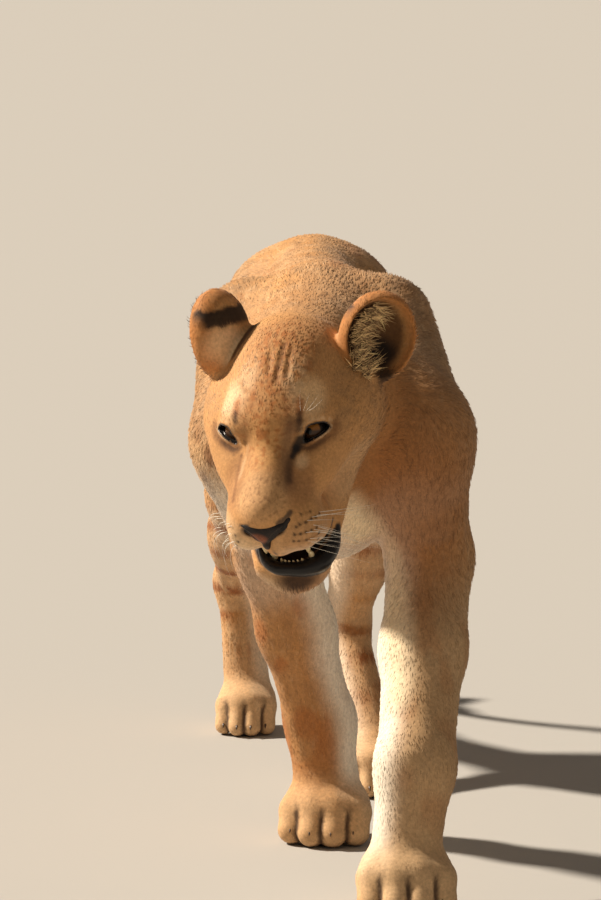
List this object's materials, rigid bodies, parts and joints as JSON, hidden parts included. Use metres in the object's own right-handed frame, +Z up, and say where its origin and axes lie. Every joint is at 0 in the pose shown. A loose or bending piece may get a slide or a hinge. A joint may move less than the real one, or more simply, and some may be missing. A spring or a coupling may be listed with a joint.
{
  "type": "lioness",
  "caption": "Young lioness walking with her head lowered and turned, mouth slightly open, as a life-size still model.",
  "frame": {"origin": "on the floor, under the middle of the animal's bounding box, tail included", "axes": "-Y is the way she walks, +X is her left, +Z is up from the floor she stands on"},
  "size_m": [0.423, 1.7681, 0.8801],
  "materials": {
    "belly": "short pale fur",
    "chest": "short tawny fur",
    "ear_left": "short tawny fur, pale long hair inside",
    "ear_right": "short tawny fur, black band at the back",
    "eye_left": "wet gloss, brown iris",
    "eye_right": "wet gloss, brown iris",
    "forearm_left": "short tawny fur",
    "forearm_right": "short tawny fur",
    "forepaw_left": "short tawny fur, dark between the toes",
    "forepaw_right": "short tawny fur, dark between the toes",
    "head": "short tawny fur",
    "hindpaw_left": "short tawny fur, dark between the toes",
    "hindpaw_right": "short tawny fur, dark between the toes",
    "jaw": "short pale fur, black lip",
    "neck": "short tawny fur",
    "nose": "bare damp skin",
    "rump": "short tawny fur",
    "shank_left": "short tawny fur, faint bars",
    "shank_right": "short tawny fur, faint bars",
    "tail_base": "short tawny fur",
    "tail_middle": "short tawny fur",
    "tail_tuft": "long dark fur",
    "thigh_left": "short tawny fur, faint spots",
    "thigh_right": "short tawny fur, faint spots",
    "upper_arm_left": "short tawny fur",
    "upper_arm_right": "short tawny fur"
  },
  "bodies": {
    "root": {"belly": "belly", "chest": "chest", "ear_left": "ear_left", "ear_right": "ear_right", "eye_left": "eye_left", "eye_right": "eye_right", "forearm_left": "forearm_left", "forearm_right": "forearm_right", "forepaw_left": "forepaw_left", "forepaw_right": "forepaw_right", "head": "head", "hindpaw_left": "hindpaw_left", "hindpaw_right": "hindpaw_right", "jaw": "jaw", "neck": "neck", "nose": "nose", "rump": "rump", "shank_left": "shank_left", "shank_right": "shank_right", "tail_base": "tail_base", "tail_middle": "tail_middle", "tail_tuft": "tail_tuft", "thigh_left": "thigh_left", "thigh_right": "thigh_right", "upper_arm_left": "upper_arm_left", "upper_arm_right": "upper_arm_right"}
  },
  "joints": []
}
